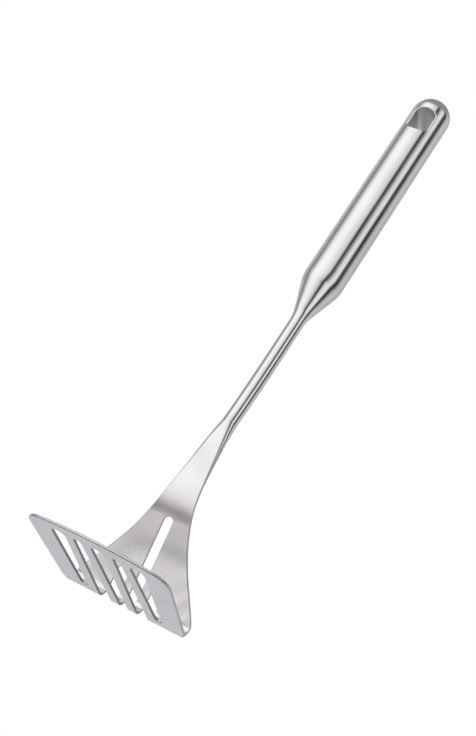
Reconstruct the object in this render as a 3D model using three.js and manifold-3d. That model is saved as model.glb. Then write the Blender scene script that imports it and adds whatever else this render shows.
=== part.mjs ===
// Potato masher: tubular handle with a hanging eye, round shank, and one bent sheet that is both
// the fan-shaped blade and the slotted mashing plate.
// Millimetres. +Z runs up the handle, the plate's working face is z = 0, the plate points to -Y.
// Each piece is worked out with the handle's axis on x = y = 0. The finished pieces are then moved
// together, so that the origin is the middle of the object's outline, seen from above.
import * as THREE from 'three';
import { mergeVertices } from 'three/addons/utils/BufferGeometryUtils.js';
import Module from 'manifold-3d';

const wasm = await Module();
wasm.setup();

// ---- driving dimensions -------------------------------------------------------------------
const GAP = 0.3;                  // clearance left where two pieces meet
const ROUND_SEGMENTS = 56;        // facets round the handle and shank
const DOME_STEPS = 12;            // facets from the dome's rim to its top
const CURVE_STEPS = 6;            // facets along the shoulder and the neck
const SLOT_END_STEPS = 10;        // facets round each slot's end
const EYE_STEPS = 18;             // facets round the eye's arch and round its sill

const HANDLE_RADIUS = 10;
const TUBE_WALL = 0.9;
const DOME_CENTRE_Z = 291;        // the domed end is a half sphere about this height
const SHOULDER_Z = 177.3;         // where the cone would meet the handle without its rounding
const CONE_ANGLE = 17 * Math.PI / 180;
const SHOULDER_ROUNDING = 20;
const NECK_ROUNDING = 22;
const NECK_END_Z = 151.5;
const SHANK_RADIUS = 3.6;
const SPIGOT_RADIUS = 2.6;
const SPIGOT_LENGTH = 14;

const CAP_JOIN_Z = 266;           // the end cap's skirt reaches down to here

const EYE_HALF_WIDTH = 5.15;      // clear opening of the hanging eye
const EYE_ARCH_Z = 285.6;         // the straight sides end here and the arched top begins
const EYE_ARCH_RISE = 3.6;
const EYE_ARCH_POWER = 2.4;       // fuller than an ellipse, which has power 2
const EYE_SILL_Z = 277.3;         // the straight sides end here and the rounded sill begins
const EYE_SILL_DROP = 2.5;
const LINER_WALL = 0.8;

const SHEET = 1.2;                // thickness of the blade and plate
const PLATE_FRONT_Y = -51.5;      // middle of the convex front edge
const PLATE_FRONT_SAG = 4.8;      // how far the front edge bulges
const PLATE_FRONT_HALF = 34.4;
const PLATE_CORNER = 9;
const PLATE_REAR_Y = 11;          // where the flat plate runs into the tight fold
const PLATE_REAR_HALF = 31.15;
const FOLD_RADIUS = 5.2;          // outside of the tight fold
const BLADE_LEAN = 22.4 * Math.PI / 180;
const BLADE_STRAIGHT = 36.8;
const BACK_BEND_RADIUS = 50;      // rear face of the large bend
const BLADE_TOP_Z = 78.7;

// The bars between the slots slant by turns to one side and the other, so each slot is a wedge.
const MIDDLE_SLOT = { frontHalf: 3, rearHalf: 2.25 };
const SHORT_SLOT = { frontHalf: 1.85, rearHalf: 2.9 };
const OUTER_SLOT = { frontHalf: 3.4, rearHalf: 1.8 };
const SLOT_PITCH = 9.45;
const SLOT_FRONT_Y = -44.3;
const SLOT_TAPER_END_Y = 5.2;     // from here to the rear a slot keeps its rear width
const SHORT_SLOT_TOP_Z = 16.5;    // tops of the two slots that run a little way up the blade
const LONG_SLOT_TOP_Z = 41.8;

const BOW_START_Z = 135;          // below this the shank bows gently towards the front
const BOW_RATE = 0.00078;
const FLAT_START_Z = 92;          // the shank starts to be pressed flat here
const THIN_Z = 46;                // from here down the blade has the sheet's own thickness
const PRESS_POWER = 2.3;          // how steeply the thickness falls from the round shank
const FLAT_HALF_WIDTH = 4.8;      // half width of the shank where it meets the blade
const SHANK_STATIONS = 8;         // steps along the bowed stretch and along the pressed one
const SPIGOT_LEAD = 0.4;          // depth of the slope at the inner end of the spigot's hole
const CLEAR = 5;                  // how far cutting shapes reach past what they cut

// Half width of the sheet against the distance travelled along it from the start of the fold.
const BLADE_OUTLINE = [
  [-8, 31.6], [-3, 31.2], [0, 30.2], [2.5, 29.5], [5, 29.5], [8, 29.5], [10, 28.9], [17.5, 24.5],
  [27.6, 18.5], [39.5, 12.8], [53, 8.7], [66.5, 6.55], [82, 5.0], [95, 4.2],
];
const SHEET_CHAMFER = 0.25;       // on the long edges of the sheet; it grows with the thickness

const FRAME_SHIFT_Y = -(PLATE_FRONT_Y + PLATE_REAR_Y + FOLD_RADIUS) / 2;

// ---- mesh helpers -------------------------------------------------------------------------
function solid(geometry) {
  geometry.deleteAttribute('normal');
  geometry.deleteAttribute('uv');
  const merged = mergeVertices(geometry, 1e-5);
  const index = Uint32Array.from(merged.index.array);
  const mesh = { numProp: 3, vertProperties: Float32Array.from(merged.attributes.position.array) };
  const body = new wasm.Manifold(new wasm.Mesh({ ...mesh, triVerts: index }));
  if (body.volume() > 0) return body;
  for (let i = 0; i < index.length; i += 3) {
    [index[i + 1], index[i + 2]] = [index[i + 2], index[i + 1]];
  }
  return new wasm.Manifold(new wasm.Mesh({ ...mesh, triVerts: index }));
}

function toMesh(name, body, colour, roughness) {
  const data = body.getMesh();
  const geometry = new THREE.BufferGeometry();
  const stride = data.numProp;
  const positions = new Float32Array(data.numVert * 3);
  for (let i = 0; i < data.numVert; i += 1) {
    for (let axis = 0; axis < 3; axis += 1) {
      positions[i * 3 + axis] = data.vertProperties[i * stride + axis];
    }
  }
  geometry.setAttribute('position', new THREE.BufferAttribute(positions, 3));
  geometry.setIndex(Array.from(data.triVerts));
  geometry.translate(0, FRAME_SHIFT_Y, 0);
  geometry.computeVertexNormals();
  const steel = new THREE.MeshStandardMaterial({ color: colour, roughness, metalness: 1 });
  const mesh = new THREE.Mesh(geometry, steel);
  mesh.name = name;
  return mesh;
}

// Points on an arc in the (radius, height) plane, from one angle to another.
function arc(centreA, centreB, radius, from, to, steps) {
  const points = [];
  for (let i = 0; i <= steps; i += 1) {
    const angle = from + (to - from) * i / steps;
    points.push([centreA + radius * Math.cos(angle), centreB + radius * Math.sin(angle)]);
  }
  return points;
}

// A closed profile of [radius, height] pairs turned about the Z axis.
function turned(profile) {
  const closed = [...profile, profile[0]].map(([r, z]) => new THREE.Vector2(r, z));
  return new THREE.LatheGeometry(closed, ROUND_SEGMENTS).rotateX(Math.PI / 2);
}

// A flat outline of [x, z] pairs made into a prism that runs from y = fromY to y = toY.
function prismAlongY(outline, fromY, toY) {
  const shape = new THREE.Shape(outline.map(([x, z]) => new THREE.Vector2(x, z)));
  const prism = new THREE.ExtrudeGeometry(shape, { depth: toY - fromY, bevelEnabled: false });
  return prism.rotateX(Math.PI / 2).translate(0, toY, 0);
}

// A flat outline of [x, y] pairs made into an upright prism.
function prismAlongZ(outline, fromZ, toZ) {
  const shape = new THREE.Shape(outline.map(([x, y]) => new THREE.Vector2(x, y)));
  const prism = new THREE.ExtrudeGeometry(shape, { depth: toZ - fromZ, bevelEnabled: false });
  return prism.translate(0, 0, fromZ);
}

// A side outline of [y, z] pairs made into a prism that runs from x = -half to x = half.
function prismAlongX(outline, half) {
  const shape = new THREE.Shape(outline.map(([y, z]) => new THREE.Vector2(y, z)));
  const prism = new THREE.ExtrudeGeometry(shape, { depth: 2 * half, bevelEnabled: false });
  const axes = new THREE.Matrix4().makeBasis(
    new THREE.Vector3(0, 1, 0), new THREE.Vector3(0, 0, 1), new THREE.Vector3(1, 0, 0));
  return prism.applyMatrix4(axes).translate(-half, 0, 0);
}

// ---- handle -------------------------------------------------------------------------------
// Outside of the handle's lower end: straight wall, rounded shoulder, cone, rounded neck.
function coneProfile(inset, endRadius) {
  const half = CONE_ANGLE / 2;
  const shoulder = SHOULDER_ROUNDING - inset;
  const neck = NECK_ROUNDING + inset;
  const shoulderCentreZ = SHOULDER_Z + SHOULDER_ROUNDING * Math.tan(half);
  const shoulderCentreR = HANDLE_RADIUS - SHOULDER_ROUNDING;
  const coneFoot = SHOULDER_Z - (HANDLE_RADIUS - SHANK_RADIUS) / Math.tan(CONE_ANGLE);
  const neckCentreZ = coneFoot - NECK_ROUNDING * Math.tan(half);
  const neckCentreR = SHANK_RADIUS + NECK_ROUNDING;
  const top = arc(shoulderCentreR, shoulderCentreZ, shoulder, 0, -CONE_ANGLE, CURVE_STEPS);
  const neckStart = Math.PI - CONE_ANGLE;
  const bottom = arc(neckCentreR, neckCentreZ, neck, neckStart, Math.PI, CURVE_STEPS);
  return [...top, ...bottom].filter(([r]) => r > endRadius);
}

function eyeOutline(grow) {
  const half = EYE_HALF_WIDTH + grow;
  const rounded = (centreZ, rise, power, from) => {
    const points = [];
    const curve = (v) => Math.sign(v) * Math.abs(v) ** (2 / power);
    for (let i = 0; i <= EYE_STEPS; i += 1) {
      const angle = from + Math.PI * i / EYE_STEPS;
      const across = half * curve(Math.cos(angle));
      points.push([across, centreZ + (rise + grow) * curve(Math.sin(angle))]);
    }
    return points;
  };
  const top = rounded(EYE_ARCH_Z, EYE_ARCH_RISE, EYE_ARCH_POWER, 0);
  const sill = rounded(EYE_SILL_Z, EYE_SILL_DROP, 2, Math.PI);
  return [...top, ...sill];
}

function eyePrism(grow) {
  return solid(prismAlongY(eyeOutline(grow), -HANDLE_RADIUS - CLEAR, HANDLE_RADIUS + CLEAR));
}

function handleTube() {
  const joinZ = CAP_JOIN_Z - GAP;
  const bore = HANDLE_RADIUS - TUBE_WALL;
  const holeRadius = SPIGOT_RADIUS + GAP;
  const outside = [[HANDLE_RADIUS, joinZ], ...coneProfile(0, 0), [SHANK_RADIUS, NECK_END_Z]];
  const inside = coneProfile(TUBE_WALL, holeRadius).reverse();
  const hole = [[holeRadius, NECK_END_Z], [holeRadius, inside[0][1] - SPIGOT_LEAD]];
  return solid(turned([...outside, ...hole, ...inside, [bore, joinZ]]));
}

function domeArc(radius) {
  const points = arc(0, DOME_CENTRE_Z, radius, 0, Math.PI / 2, DOME_STEPS);
  points[points.length - 1][0] = 0;
  return points;
}

function endCap() {
  const bore = HANDLE_RADIUS - TUBE_WALL;
  const outer = [[HANDLE_RADIUS, CAP_JOIN_Z], ...domeArc(HANDLE_RADIUS)];
  const inner = [...domeArc(bore).reverse(), [bore, CAP_JOIN_Z]];
  return solid(turned([...outer, ...inner])).subtract(eyePrism(LINER_WALL + GAP));
}

function eyeLiner() {
  const outline = [[0, CAP_JOIN_Z], [HANDLE_RADIUS, CAP_JOIN_Z], ...domeArc(HANDLE_RADIUS)];
  return solid(turned(outline)).intersect(eyePrism(LINER_WALL)).subtract(eyePrism(0));
}

// ---- shank --------------------------------------------------------------------------------
const bow = (z) => (z < BOW_START_Z ? -BOW_RATE * (BOW_START_Z - z) ** 2 : 0);

// Half the thickness of the forged stretch between the sheet and the round shank.
function pressedHalf(z) {
  const share = Math.min(Math.max((z - THIN_Z) / (FLAT_START_Z - THIN_Z), 0), 1);
  return SHEET / 2 + (SHANK_RADIUS - SHEET / 2) * share ** PRESS_POWER;
}

function shankRod() {
  const shoulderZ = NECK_END_Z - GAP;
  const endZ = BLADE_TOP_Z + GAP;
  const profile = [[0, shoulderZ + SPIGOT_LENGTH], [0, endZ]];
  for (let i = 0; i <= SHANK_STATIONS; i += 1) {
    const share = i / SHANK_STATIONS;
    const radius = FLAT_HALF_WIDTH + (SHANK_RADIUS - FLAT_HALF_WIDTH) * share;
    profile.push([radius, endZ + (FLAT_START_Z - endZ) * share]);
  }
  for (let i = 1; i <= SHANK_STATIONS; i += 1) {
    const share = i / SHANK_STATIONS;
    profile.push([SHANK_RADIUS, FLAT_START_Z + (BOW_START_Z - FLAT_START_Z) * share]);
  }
  profile.push([SHANK_RADIUS, shoulderZ]);
  profile.push([SPIGOT_RADIUS, shoulderZ]);
  profile.push([SPIGOT_RADIUS, shoulderZ + SPIGOT_LENGTH]);
  const rod = turned(profile);
  const position = rod.attributes.position;
  for (let i = 0; i < position.count; i += 1) {
    position.setY(i, position.getY(i) + bow(position.getZ(i)));
  }
  return solid(rod).intersect(solid(prismAlongX(flattening(endZ), FLAT_HALF_WIDTH + CLEAR)));
}

// Side outline that presses the shank's lower end down towards the thickness of the sheet.
function flattening(endZ) {
  const front = [];
  const back = [];
  const clearOfRod = 0.05;
  for (let i = 0; i <= SHANK_STATIONS; i += 1) {
    const share = i / SHANK_STATIONS;
    const z = endZ + (FLAT_START_Z - endZ) * share;
    const half = pressedHalf(z) + clearOfRod * share;
    front.push([bow(z) - half, z]);
    back.push([bow(z) + half, z]);
  }
  const reach = HANDLE_RADIUS + CLEAR;
  const topZ = NECK_END_Z + SPIGOT_LENGTH + CLEAR;
  const startZ = FLAT_START_Z + 1;
  const footZ = endZ - CLEAR;
  return [[front[0][0], footZ], ...front, [-reach, startZ], [-reach, topZ],
    [reach, topZ], [reach, startZ], ...back.reverse(), [back[back.length - 1][0], footZ]];
}

// ---- blade and mashing plate --------------------------------------------------------------
// The sheet's middle surface in the YZ plane: straight plate, tight fold, straight blade, large
// bend, upright top. Returns y, z and heading at the distance s from the start of the fold.
const FOLD_MIDDLE = FOLD_RADIUS - SHEET / 2;
const FOLD_TURN = Math.PI / 2 + BLADE_LEAN;
const BEND_MIDDLE = BACK_BEND_RADIUS + SHEET / 2;
const FOLD_END = FOLD_MIDDLE * FOLD_TURN;
const STRAIGHT_END = FOLD_END + BLADE_STRAIGHT;
const BEND_END = STRAIGHT_END + BEND_MIDDLE * BLADE_LEAN;

function sheetWalk(s) {
  if (s <= 0) return [PLATE_REAR_Y + s, SHEET / 2, 0];
  const folded = Math.min(s / FOLD_MIDDLE, FOLD_TURN);
  let y = PLATE_REAR_Y + FOLD_MIDDLE * Math.sin(folded);
  let z = FOLD_RADIUS - FOLD_MIDDLE * Math.cos(folded);
  if (s <= FOLD_END) return [y, z, folded];
  const run = Math.min(s, STRAIGHT_END) - FOLD_END;
  y += run * Math.cos(FOLD_TURN);
  z += run * Math.sin(FOLD_TURN);
  if (s <= STRAIGHT_END) return [y, z, FOLD_TURN];
  const heading = Math.max(FOLD_TURN - (s - STRAIGHT_END) / BEND_MIDDLE, Math.PI / 2);
  y += BEND_MIDDLE * (Math.sin(FOLD_TURN) - Math.sin(heading));
  z += BEND_MIDDLE * (Math.cos(heading) - Math.cos(FOLD_TURN));
  return [y, z + Math.max(s - BEND_END, 0), heading];
}

// Distances along the sheet that get a cross-section.
function sheetStations() {
  const front = PLATE_FRONT_Y - CLEAR - PLATE_REAR_Y;
  const top = BEND_END + BLADE_TOP_Z - sheetWalk(BEND_END)[1];
  const stretches = [[front, -8, 1], [-8, 0, 4], [0, FOLD_END, 14], [FOLD_END, STRAIGHT_END, 12],
    [STRAIGHT_END, BEND_END, 10], [BEND_END, top, 8]];
  const stations = [front];
  for (const [from, to, steps] of stretches) {
    for (let i = 1; i <= steps; i += 1) stations.push(from + (to - from) * i / steps);
  }
  return stations;
}

function halfWidths() {
  const outline = new THREE.SplineCurve(BLADE_OUTLINE.map(([s, w]) => new THREE.Vector2(s, w)));
  const table = outline.getPoints(260);
  const plateLength = PLATE_REAR_Y - PLATE_FRONT_Y - PLATE_FRONT_SAG;
  const taper = (PLATE_FRONT_HALF - PLATE_REAR_HALF) / plateLength;
  return (s) => {
    if (s < BLADE_OUTLINE[0][0]) return PLATE_REAR_HALF - taper * s;
    const next = Math.max(1, table.findIndex((p) => p.x >= s));
    const [a, b] = [table[next - 1], table[next]];
    return a.y + (b.y - a.y) * (s - a.x) / (b.x - a.x);
  };
}

// Corners of the sheet's cross-section as [across, off the middle], with its edges chamfered.
function sheetSection(width, half) {
  const cut = SHEET_CHAMFER * half / (SHEET / 2);
  return [[-width + cut, -half], [width - cut, -half], [width, -half + cut], [width, half - cut],
    [width - cut, half], [-width + cut, half], [-width, half - cut], [-width, -half + cut]];
}

function bentSheet() {
  const positions = [];
  const index = [];
  const stations = sheetStations();
  const widthAt = halfWidths();
  for (const s of stations) {
    const [y, z, heading] = sheetWalk(s);
    for (const [across, off] of sheetSection(widthAt(s), pressedHalf(z))) {
      positions.push(across, y - off * Math.sin(heading), z + off * Math.cos(heading));
    }
  }
  const corners = positions.length / 3 / stations.length;
  for (let i = 0; i < stations.length - 1; i += 1) {
    for (let side = 0; side < corners; side += 1) {
      const a = corners * i + side;
      const b = corners * i + (side + 1) % corners;
      index.push(a, a + corners, b, b, a + corners, b + corners);
    }
  }
  const end = corners * (stations.length - 1);
  for (let k = 1; k < corners - 1; k += 1) {
    index.push(0, k, k + 1);
    index.push(end, end + k + 1, end + k);
  }
  const geometry = new THREE.BufferGeometry();
  geometry.setAttribute('position', new THREE.Float32BufferAttribute(positions, 3));
  geometry.setIndex(index);
  return solid(geometry);
}

// Plan of the plate's front: convex edge and two round corners; behind them it opens out wide.
function plateFrontOutline() {
  const sag = PLATE_FRONT_SAG;
  const bigRadius = (PLATE_FRONT_HALF ** 2 + sag ** 2) / (2 * sag);
  const centreY = PLATE_FRONT_Y + bigRadius;
  const taper = (PLATE_FRONT_HALF - PLATE_REAR_HALF) / (PLATE_REAR_Y - PLATE_FRONT_Y - sag);
  const sideAngle = Math.atan(taper);
  const inset = PLATE_CORNER / Math.cos(sideAngle);
  const inner = bigRadius - PLATE_CORNER;
  const base = PLATE_REAR_HALF + taper * PLATE_REAR_Y - inset;
  const a = 1 + taper ** 2;
  const b = -2 * (taper * base + centreY);
  const c = base ** 2 + centreY ** 2 - inner ** 2;
  const y = (-b - Math.sqrt(b * b - 4 * a * c)) / (2 * a);
  const x = base - taper * y;
  const edgeAngle = Math.atan2(y - centreY, x);
  const corner = arc(x, y, PLATE_CORNER, edgeAngle, sideAngle, 10);
  const mirrored = corner.map(([px, py]) => [-px, py]).reverse();
  const front = arc(0, centreY, bigRadius, -Math.PI - edgeAngle, edgeAngle, 16).slice(1, -1);
  const openX = PLATE_FRONT_HALF + CLEAR;
  const openY = y + 2 * CLEAR;
  const backY = PLATE_REAR_Y + FOLD_RADIUS + CLEAR;
  return [...mirrored, ...front, ...corner, [openX, openY], [openX, backY], [-openX, backY],
    [-openX, openY]];
}

function plateSlot(centreX, { frontHalf, rearHalf }) {
  const frontY = SLOT_FRONT_Y + frontHalf;
  const front = arc(centreX, frontY, frontHalf, Math.PI, 2 * Math.PI, SLOT_END_STEPS);
  const rear = arc(centreX, SLOT_TAPER_END_Y, rearHalf, 0, Math.PI, SLOT_END_STEPS);
  return solid(prismAlongZ([...front, ...rear], -SHEET, 2 * SHEET));
}

// startY keeps the cut behind the plate's wedge where the wedge is the narrower of the two.
function bladeSlot(centreX, half, startY, topZ) {
  const top = arc(centreX, topZ - half, half, 0, Math.PI, SLOT_END_STEPS);
  const outline = [[centreX - half, -SHEET], [centreX + half, -SHEET], ...top];
  return solid(prismAlongY(outline, startY, PLATE_REAR_Y + FOLD_RADIUS + CLEAR));
}

function masherBlade() {
  const plan = prismAlongZ(plateFrontOutline(), -CLEAR, BLADE_TOP_Z + CLEAR);
  let body = bentSheet().intersect(solid(plan));
  for (const x of [-2 * SLOT_PITCH, 2 * SLOT_PITCH]) {
    body = body.subtract(plateSlot(x, OUTER_SLOT));
  }
  for (const x of [-SLOT_PITCH, SLOT_PITCH]) {
    body = body.subtract(plateSlot(x, SHORT_SLOT));
    body = body.subtract(bladeSlot(x, SHORT_SLOT.rearHalf, SLOT_TAPER_END_Y, SHORT_SLOT_TOP_Z));
  }
  body = body.subtract(plateSlot(0, MIDDLE_SLOT));
  body = body.subtract(bladeSlot(0, MIDDLE_SLOT.rearHalf, -CLEAR, LONG_SLOT_TOP_Z));
  return body;
}

// ---- assembly -----------------------------------------------------------------------------
const masher = new THREE.Group();
masher.name = 'potato_masher';
masher.add(
  toMesh('handle_tube', handleTube(), 0xc9c9cc, 0.32),
  toMesh('end_cap', endCap(), 0xc9c9cc, 0.32),
  toMesh('eye_liner', eyeLiner(), 0xd6d6d8, 0.25),
  toMesh('shank_rod', shankRod(), 0xc9c9cc, 0.3),
  toMesh('masher_blade', masherBlade(), 0xc8c8ce, 0.38),
);

export default masher;
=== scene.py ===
"""Potato masher in brushed stainless steel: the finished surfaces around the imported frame.

Everything is in metres in the frame's own axes: +Z runs up the handle, the mashing plate lies on
z = 0 and points to -Y. Each frame node is replaced by one fine piece of the same size.
"""
import math
from collections import namedtuple

import bpy
from mathutils import Matrix, Vector, geometry


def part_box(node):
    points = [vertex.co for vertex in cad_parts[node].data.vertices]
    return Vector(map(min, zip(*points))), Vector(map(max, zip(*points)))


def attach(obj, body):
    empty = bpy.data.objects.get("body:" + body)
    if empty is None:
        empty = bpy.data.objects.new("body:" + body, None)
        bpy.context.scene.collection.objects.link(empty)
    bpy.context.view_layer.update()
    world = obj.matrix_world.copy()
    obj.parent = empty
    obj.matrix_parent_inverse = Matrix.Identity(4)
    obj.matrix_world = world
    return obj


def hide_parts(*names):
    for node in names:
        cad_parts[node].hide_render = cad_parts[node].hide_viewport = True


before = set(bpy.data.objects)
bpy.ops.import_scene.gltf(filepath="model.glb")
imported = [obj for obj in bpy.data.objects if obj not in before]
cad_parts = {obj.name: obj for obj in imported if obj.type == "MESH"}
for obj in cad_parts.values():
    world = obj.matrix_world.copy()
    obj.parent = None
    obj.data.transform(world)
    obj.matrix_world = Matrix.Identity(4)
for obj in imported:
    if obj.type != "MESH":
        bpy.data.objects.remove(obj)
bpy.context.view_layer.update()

MM = 0.001

# ---- sizes taken from the frame ------------------------------------------------------------
TUBE_LOW, TUBE_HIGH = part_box("handle_tube")
CAP_LOW, CAP_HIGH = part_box("end_cap")
LINER_LOW, LINER_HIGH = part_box("eye_liner")
SHANK_LOW, SHANK_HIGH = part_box("shank_rod")
SHEET_LOW, SHEET_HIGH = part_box("masher_blade")

AXIS_Y = (TUBE_LOW.y + TUBE_HIGH.y) / 2
HANDLE_RADIUS = (TUBE_HIGH.x - TUBE_LOW.x) / 2
NECK_END_Z = TUBE_LOW.z
SEAM_Z = (TUBE_HIGH.z + CAP_LOW.z) / 2
DOME_Z = CAP_HIGH.z - HANDLE_RADIUS
JOIN_Z = (SHANK_LOW.z + SHEET_HIGH.z) / 2
FLAT_HALF_WIDTH = (SHANK_HIGH.x - SHANK_LOW.x) / 2
PLATE_FRONT_Y = SHEET_LOW.y

# ---- sizes the boxes don't give ------------------------------------------------------------
TUBE_WALL = 0.9 * MM
CONE_ANGLE = math.radians(17)
SHOULDER_Z = 177.3 * MM
SHOULDER_ROUNDING = 20 * MM
NECK_ROUNDING = 22 * MM
SHANK_RADIUS = 3.6 * MM
SPIGOT_RADIUS = 2.6 * MM
CONE_TIP = 8 * MM                  # depth of the rod's hole before the cone's hollow begins

LINER_WALL = 0.8 * MM
EYE_HALF_WIDTH = LINER_HIGH.x - LINER_WALL
EYE_ARCH_RISE = 3.6 * MM
EYE_ARCH_POWER = 2.4
EYE_ARCH_Z = LINER_HIGH.z - LINER_WALL - EYE_ARCH_RISE
EYE_SILL_DROP = 2.5 * MM
EYE_SILL_Z = LINER_LOW.z + LINER_WALL + EYE_SILL_DROP
EYE_RIM_ROUNDING = 0.55 * MM

SHEET = 1.2 * MM
EDGE_ROUNDING = 0.5 * MM
SLOT_ROUNDING = 0.15 * MM
PLATE_FRONT_SAG = 4.8 * MM
PLATE_FRONT_HALF = 34.38 * MM
PLATE_REAR_HALF = 31.13 * MM
PLATE_CORNER = 9 * MM
FOLD_RADIUS = 5.2 * MM
BLADE_LEAN = math.radians(22.4)
BLADE_STRAIGHT = 36.8 * MM
BACK_BEND_RADIUS = 50 * MM
PLATE_REAR_Y = SHEET_HIGH.y - FOLD_RADIUS

# Each slot is a wedge: (half width at its front end, half width at its rear end).
MIDDLE_SLOT = (3 * MM, 2.25 * MM)
SHORT_SLOT = (1.85 * MM, 2.9 * MM)
OUTER_SLOT = (3.4 * MM, 1.8 * MM)
SLOT_PITCH = 9.45 * MM
SLOT_FRONT_INSET = 7.2 * MM
SLOT_TAPER_END_INSET = 5.8 * MM
SHORT_SLOT_TOP_Z = 16.5 * MM
LONG_SLOT_TOP_Z = 41.8 * MM

BOW_START_Z = 135 * MM
BOW_RATE = 0.78
FLAT_START_Z = 92 * MM
THIN_Z = 46 * MM
PRESS_POWER = 2.3

# Half width of the sheet against the distance along it from the start of the fold.
BLADE_OUTLINE = [
    (-8, 31.6), (-3, 31.2), (0, 30.2), (2.5, 29.5), (5, 29.5), (8, 29.5), (10, 28.9),
    (17.5, 24.5), (27.6, 18.5), (39.5, 12.8), (53, 8.7), (66.5, 6.55), (82, 5.0), (95, 4.2),
]

# ---- how finely the pieces are divided -------------------------------------------------------
ROUND_STEPS = 128                  # round the handle
BEND_STEPS = 16                    # along the shoulder and the neck
DOME_STEPS = 32
CAP_ROWS = 20                      # along the cap's round wall
HOLE_MARGIN = 0.8 * MM             # no points of the cap's wall this close to the eye
EYE_STEPS = 36                     # round the eye's arch and round its sill
EYE_SIDE_STEPS = 8
RIM_STEPS = 8                      # over the eye's rolled rim
BORE_SHARES = (0.03, 0.1, 0.3, 0.5, 0.7, 0.9, 0.97)    # along the eye's bore, front to back
SECTION_STEPS = 32                 # round each corner of the shank's section
FINE_STEP = 0.35 * MM              # along the pressed stretch of the shank
FINE_STEPS = 110
COARSE_STEP = 1.5 * MM             # along the rest of it
EDGE_STEPS = 6                     # over each rounded corner of the sheet's edge
CORNER_STEPS = 24                  # round each front corner of the plate
FRONT_STEPS = 20                   # along each half of the plate's front edge
SLOT_END_STEPS = 20
ROW_MARGIN = 0.3 * MM              # no row of points this close to a slot's round end
COLUMN_STEP = 2.4 * MM             # across the sheet
COLUMNS_EACH_SIDE = 14
POINT_MARGIN = 0.7 * MM            # no point of the sheet's faces this close to an edge
GRAIN_UNIT = 100 * MM              # length that is one unit of the sheet's flat map
PROBE = 0.1 * MM                   # distance over which the sheet's change in thickness is read

# ---- wear and painted shade: how an edge was worked, and painted shade on cut edges ----------
RUBBED = 1.0                       # smooth and bright
LITTLE_RUBBED = 0.3
# A cut edge is rougher, and its colour is darkened as painted shade.
ROUGH_AND_SHADED = -1.0                     # rough and dark
# Painted shade on the sheet's cut edges, set by the way each edge faces: across or along the
# sheet. On the slots the long sides are dark and the ends stay light.
OUTLINE_WEAR_AND_SHADE = (-0.5, -0.3)        # on edges that face across the sheet, and along it
SLOT_WEAR_AND_SHADE = (-1.0, -0.05)

# ---- mesh building ---------------------------------------------------------------------------
Corner = namedtuple("Corner", "point normal wear flat")


class Shape:
    """Faces gathered with a normal at each corner. Corners at the same place share a vertex."""

    def __init__(self):
        self.index = {}
        self.points = []
        self.wear = []
        self.faces = []
        self.normals = []
        self.flat = []

    def vertex(self, corner):
        key = tuple(round(value, 8) for value in corner.point)
        if key not in self.index:
            self.index[key] = len(self.points)
            self.points.append(Vector(corner.point))
            self.wear.append(corner.wear)
        return self.index[key]

    def face(self, corners):
        """Adds one face, turned so that it looks the way its corners' normals do."""
        ids = [self.vertex(c) for c in corners]
        kept = [k for k in range(len(ids)) if ids[k] != ids[k - 1]]
        if len(kept) < 3:
            return
        corners = [corners[k] for k in kept]
        ids = [ids[k] for k in kept]
        points = [self.points[i] for i in ids]
        facing = geometry.normal(points)
        outward = sum((Vector(c.normal) for c in corners), Vector())
        if facing.dot(outward) < 0:
            corners.reverse()
            ids.reverse()
        self.faces.append(ids)
        self.normals.extend(Vector(c.normal).normalized() for c in corners)
        self.flat.extend(c.flat for c in corners)

    def grid(self, rows, closed=False):
        """Joins neighbouring rows of corners with four-sided faces."""
        for low, high in zip(rows, rows[1:]):
            count = len(low)
            last = count if closed else count - 1
            for k in range(last):
                n = (k + 1) % count
                self.face([low[k], low[n], high[n], high[k]])

    def to_object(self, name, node, material):
        mesh = bpy.data.meshes.new(name)
        mesh.from_pydata(self.points, [], self.faces)
        flat = mesh.uv_layers.new(name="flat")
        for item, place in zip(flat.data, self.flat):
            item.uv = place
        # Per-point wear and painted shade: rubbed rims of the eye, and cut edges and the eye's
        # bore darkened as painted shade.
        wear = mesh.attributes.new("wear", "FLOAT", "POINT")
        wear.data.foreach_set("value", self.wear)
        mesh.polygons.foreach_set("use_smooth", [True] * len(mesh.polygons))
        mesh.normals_split_custom_set(self.normals)
        mesh.materials.append(material)
        piece = bpy.data.objects.new(name, mesh)
        bpy.context.scene.collection.objects.link(piece)
        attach(piece, "root")
        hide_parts(node)
        return piece


# ---- turned pieces ---------------------------------------------------------------------------
def turned_corner(radius, z, slope, angle):
    """A corner at one angle round the handle's axis; slope is the normal's (outward, upward)."""
    across, depth = math.sin(angle), -math.cos(angle)
    point = (radius * across, AXIS_Y + radius * depth, z)
    normal = (slope[0] * across, slope[0] * depth, slope[1])
    return Corner(point, normal, 0.0, (angle * HANDLE_RADIUS, z))


def turn(shape, strip):
    """Turns a strip of (radius, z, slope) about the handle's axis."""
    rows = []
    for radius, z, slope in strip:
        angles = (2 * math.pi * k / ROUND_STEPS for k in range(ROUND_STEPS))
        rows.append([turned_corner(radius, z, slope, angle) for angle in angles])
    shape.grid(rows, closed=True)


def arc_strip(centre_radius, centre_z, radius, start, end, steps, side=1):
    """Strip along an arc; side -1 makes the surface look at the arc's centre."""
    strip = []
    for k in range(steps + 1):
        angle = start + (end - start) * k / steps
        slope = (side * math.cos(angle), side * math.sin(angle))
        place = (centre_radius + radius * math.cos(angle), centre_z + radius * math.sin(angle))
        strip.append((max(place[0], 0.0), place[1], slope))
    return strip


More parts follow.
